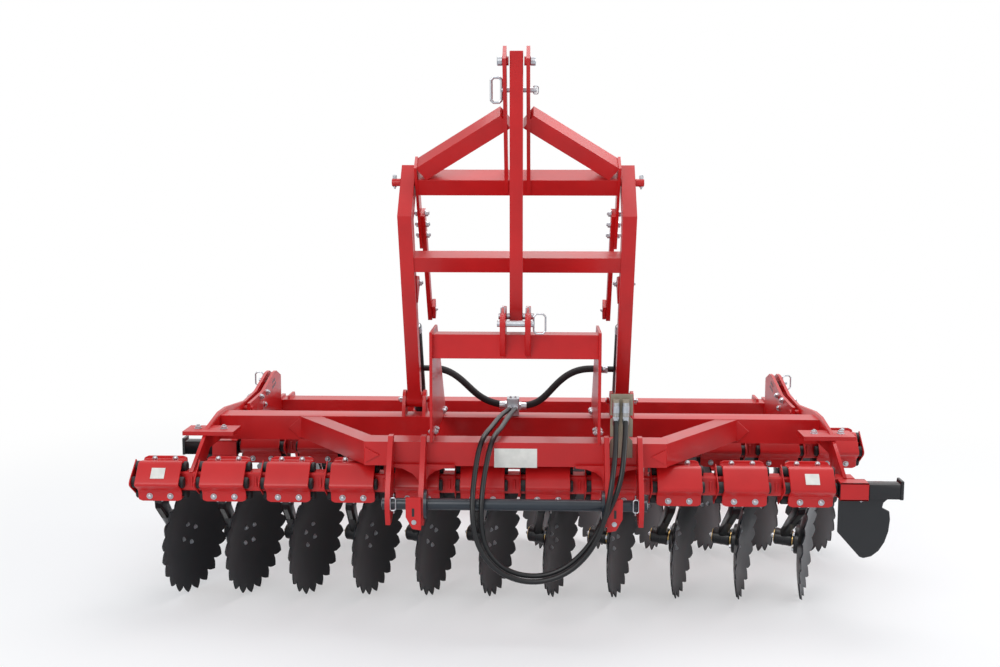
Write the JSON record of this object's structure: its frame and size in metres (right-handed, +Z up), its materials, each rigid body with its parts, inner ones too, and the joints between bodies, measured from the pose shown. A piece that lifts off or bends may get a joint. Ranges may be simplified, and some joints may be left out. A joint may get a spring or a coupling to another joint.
{
  "type": "mounted compact disc harrow with drill lift frame",
  "caption": "Compact disc harrow for a three-point hitch: two rows of notched discs on rubber-cord clamps, a cage roller and a hydraulic lift frame for a seed drill.",
  "frame": {"origin": "On the ground under the middle of the machine's length and width", "axes": "+X to the right seen from the tractor's side looking back, +Y to the rear, +Z up"},
  "size_m": [3.239, 2.5499, 2.3765],
  "materials": {
    "cast_black": "satin black paint",
    "chrome": "polished",
    "disc_black": "dark coated steel",
    "holder_grey": "satin",
    "paint_red": "gloss paint",
    "rubber_black": "matt",
    "zinc": "zinc plated"
  },
  "bodies": {
    "frame": {"draft_frame": "paint_red", "front_deflector": "cast_black", "front_gang": "paint_red", "headstock": "paint_red", "hitch_bar": "cast_black", "hose_block": "zinc", "hose_holder": "holder_grey", "left_cylinder_hose": "rubber_black", "left_lower_hitch": "paint_red", "left_side_plate": "paint_red", "left_supply_hose": "rubber_black", "long_beam": "paint_red", "rear_deflector": "cast_black", "rear_gang": "paint_red", "right_cylinder_hose": "rubber_black", "right_lower_hitch": "paint_red", "right_side_plate": "paint_red", "right_supply_hose": "rubber_black"},
    "lift_arms": {"lift_arms": "paint_red"},
    "coupling_frame": {"coupling_frame": "paint_red"},
    "top_link": {"top_link": "paint_red"},
    "left_barrel": {"left_barrel": "cast_black"},
    "right_barrel": {"right_barrel": "cast_black"},
    "left_rod": {"left_rod": "chrome"},
    "right_rod": {"right_rod": "chrome"},
    "roller_frame": {"roller_frame": "paint_red"},
    "roller": {"roller": "paint_red"},
    "front_disc_01": {"front_disc_01": "disc_black"},
    "front_disc_02": {"front_disc_02": "disc_black"},
    "front_disc_03": {"front_disc_03": "disc_black"},
    "front_disc_04": {"front_disc_04": "disc_black"},
    "front_disc_05": {"front_disc_05": "disc_black"},
    "front_disc_06": {"front_disc_06": "disc_black"},
    "front_disc_07": {"front_disc_07": "disc_black"},
    "front_disc_08": {"front_disc_08": "disc_black"},
    "front_disc_09": {"front_disc_09": "disc_black"},
    "front_disc_10": {"front_disc_10": "disc_black"},
    "front_disc_11": {"front_disc_11": "disc_black"},
    "rear_disc_01": {"rear_disc_01": "disc_black"},
    "rear_disc_02": {"rear_disc_02": "disc_black"},
    "rear_disc_03": {"rear_disc_03": "disc_black"},
    "rear_disc_04": {"rear_disc_04": "disc_black"},
    "rear_disc_05": {"rear_disc_05": "disc_black"},
    "rear_disc_06": {"rear_disc_06": "disc_black"},
    "rear_disc_07": {"rear_disc_07": "disc_black"},
    "rear_disc_08": {"rear_disc_08": "disc_black"},
    "rear_disc_09": {"rear_disc_09": "disc_black"},
    "rear_disc_10": {"rear_disc_10": "disc_black"},
    "rear_disc_11": {"rear_disc_11": "disc_black"}
  },
  "joints": [
    {"name": "lift_swing", "type": "hinge", "parent": "frame", "child": "lift_arms", "pos_m": [0, -0.44, 0.835], "axis": [-1, 0, 0], "range_deg": [0, 48]},
    {"name": "coupling_tilt", "type": "hinge", "parent": "lift_arms", "child": "coupling_frame", "pos_m": [0, -0.68, 1.83], "axis": [1, 0, 0], "range_deg": [0, 58.67]},
    {"name": "top_link_swing", "type": "hinge", "parent": "frame", "child": "top_link", "pos_m": [0, -0.91, 1.275], "axis": [-1, 0, 0], "range_deg": [0, 42.61]},
    {"name": "left_cylinder_swing", "type": "hinge", "parent": "frame", "child": "left_barrel", "pos_m": [-0.472, -0.19, 0.715], "axis": [-1, 0, 0], "range_deg": [0, 35.79]},
    {"name": "right_cylinder_swing", "type": "hinge", "parent": "frame", "child": "right_barrel", "pos_m": [0.472, -0.19, 0.715], "axis": [-1, 0, 0], "range_deg": [0, 35.79]},
    {"name": "left_rod_slide", "type": "slide", "parent": "left_barrel", "child": "left_rod", "axis": [0, 0.4884, -0.8726], "range_m": [0, 0.1722]},
    {"name": "right_rod_slide", "type": "slide", "parent": "right_barrel", "child": "right_rod", "axis": [0, 0.4884, -0.8726], "range_m": [0, 0.1722]},
    {"name": "roller_depth", "type": "hinge", "parent": "frame", "child": "roller_frame", "pos_m": [0, 0.22, 0.683], "axis": [-1, 0, 0], "range_deg": [0, 8]},
    {"name": "roller_spin", "type": "hinge", "parent": "roller_frame", "child": "roller", "pos_m": [0, 1, 0.25], "axis": [1, 0, 0], "continuous": true},
    {"name": "front_disc_01_spin", "type": "hinge", "parent": "frame", "child": "front_disc_01", "pos_m": [-1.4795, -0.69, 0.26271], "axis": [0.9487, -0.3083, -0.0698], "continuous": true},
    {"name": "front_disc_02_spin", "type": "hinge", "parent": "frame", "child": "front_disc_02", "pos_m": [-1.2065, -0.69, 0.26271], "axis": [0.9487, -0.3083, -0.0698], "continuous": true},
    {"name": "front_disc_03_spin", "type": "hinge", "parent": "frame", "child": "front_disc_03", "pos_m": [-0.9335, -0.69, 0.26271], "axis": [0.9487, -0.3083, -0.0698], "continuous": true},
    {"name": "front_disc_04_spin", "type": "hinge", "parent": "frame", "child": "front_disc_04", "pos_m": [-0.6605, -0.69, 0.26271], "axis": [0.9487, -0.3083, -0.0698], "continuous": true},
    {"name": "front_disc_05_spin", "type": "hinge", "parent": "frame", "child": "front_disc_05", "pos_m": [-0.3875, -0.69, 0.26271], "axis": [0.9487, -0.3083, -0.0698], "continuous": true},
    {"name": "front_disc_06_spin", "type": "hinge", "parent": "frame", "child": "front_disc_06", "pos_m": [-0.1145, -0.69, 0.26271], "axis": [0.9487, -0.3083, -0.0698], "continuous": true},
    {"name": "front_disc_07_spin", "type": "hinge", "parent": "frame", "child": "front_disc_07", "pos_m": [0.1585, -0.69, 0.26271], "axis": [0.9487, -0.3083, -0.0698], "continuous": true},
    {"name": "front_disc_08_spin", "type": "hinge", "parent": "frame", "child": "front_disc_08", "pos_m": [0.4315, -0.69, 0.26271], "axis": [0.9487, -0.3083, -0.0698], "continuous": true},
    {"name": "front_disc_09_spin", "type": "hinge", "parent": "frame", "child": "front_disc_09", "pos_m": [0.7045, -0.69, 0.26271], "axis": [0.9487, -0.3083, -0.0698], "continuous": true},
    {"name": "front_disc_10_spin", "type": "hinge", "parent": "frame", "child": "front_disc_10", "pos_m": [0.9775, -0.69, 0.26271], "axis": [0.9487, -0.3083, -0.0698], "continuous": true},
    {"name": "front_disc_11_spin", "type": "hinge", "parent": "frame", "child": "front_disc_11", "pos_m": [1.2505, -0.69, 0.26271], "axis": [0.9487, -0.3083, -0.0698], "continuous": true},
    {"name": "rear_disc_01_spin", "type": "hinge", "parent": "frame", "child": "rear_disc_01", "pos_m": [1.4795, 0.03, 0.26271], "axis": [-0.9487, -0.3083, -0.0698], "continuous": true},
    {"name": "rear_disc_02_spin", "type": "hinge", "parent": "frame", "child": "rear_disc_02", "pos_m": [1.2065, 0.03, 0.26271], "axis": [-0.9487, -0.3083, -0.0698], "continuous": true},
    {"name": "rear_disc_03_spin", "type": "hinge", "parent": "frame", "child": "rear_disc_03", "pos_m": [0.9335, 0.03, 0.26271], "axis": [-0.9487, -0.3083, -0.0698], "continuous": true},
    {"name": "rear_disc_04_spin", "type": "hinge", "parent": "frame", "child": "rear_disc_04", "pos_m": [0.6605, 0.03, 0.26271], "axis": [-0.9487, -0.3083, -0.0698], "continuous": true},
    {"name": "rear_disc_05_spin", "type": "hinge", "parent": "frame", "child": "rear_disc_05", "pos_m": [0.3875, 0.03, 0.26271], "axis": [-0.9487, -0.3083, -0.0698], "continuous": true},
    {"name": "rear_disc_06_spin", "type": "hinge", "parent": "frame", "child": "rear_disc_06", "pos_m": [0.1145, 0.03, 0.26271], "axis": [-0.9487, -0.3083, -0.0698], "continuous": true},
    {"name": "rear_disc_07_spin", "type": "hinge", "parent": "frame", "child": "rear_disc_07", "pos_m": [-0.1585, 0.03, 0.26271], "axis": [-0.9487, -0.3083, -0.0698], "continuous": true},
    {"name": "rear_disc_08_spin", "type": "hinge", "parent": "frame", "child": "rear_disc_08", "pos_m": [-0.4315, 0.03, 0.26271], "axis": [-0.9487, -0.3083, -0.0698], "continuous": true},
    {"name": "rear_disc_09_spin", "type": "hinge", "parent": "frame", "child": "rear_disc_09", "pos_m": [-0.7045, 0.03, 0.26271], "axis": [-0.9487, -0.3083, -0.0698], "continuous": true},
    {"name": "rear_disc_10_spin", "type": "hinge", "parent": "frame", "child": "rear_disc_10", "pos_m": [-0.9775, 0.03, 0.26271], "axis": [-0.9487, -0.3083, -0.0698], "continuous": true},
    {"name": "rear_disc_11_spin", "type": "hinge", "parent": "frame", "child": "rear_disc_11", "pos_m": [-1.2505, 0.03, 0.26271], "axis": [-0.9487, -0.3083, -0.0698], "continuous": true}
  ],
  "couplings": [
    {"joint": "coupling_tilt", "follows": "lift_swing", "ratio": 1.2212},
    {"joint": "top_link_swing", "follows": "lift_swing", "ratio": 0.8867},
    {"joint": "left_cylinder_swing", "follows": "lift_swing", "ratio": 0.7445},
    {"joint": "right_cylinder_swing", "follows": "lift_swing", "ratio": 0.7445},
    {"joint": "left_rod_slide", "follows": "lift_swing", "m_per_rad": 0.2049},
    {"joint": "right_rod_slide", "follows": "lift_swing", "m_per_rad": 0.2049}
  ]
}
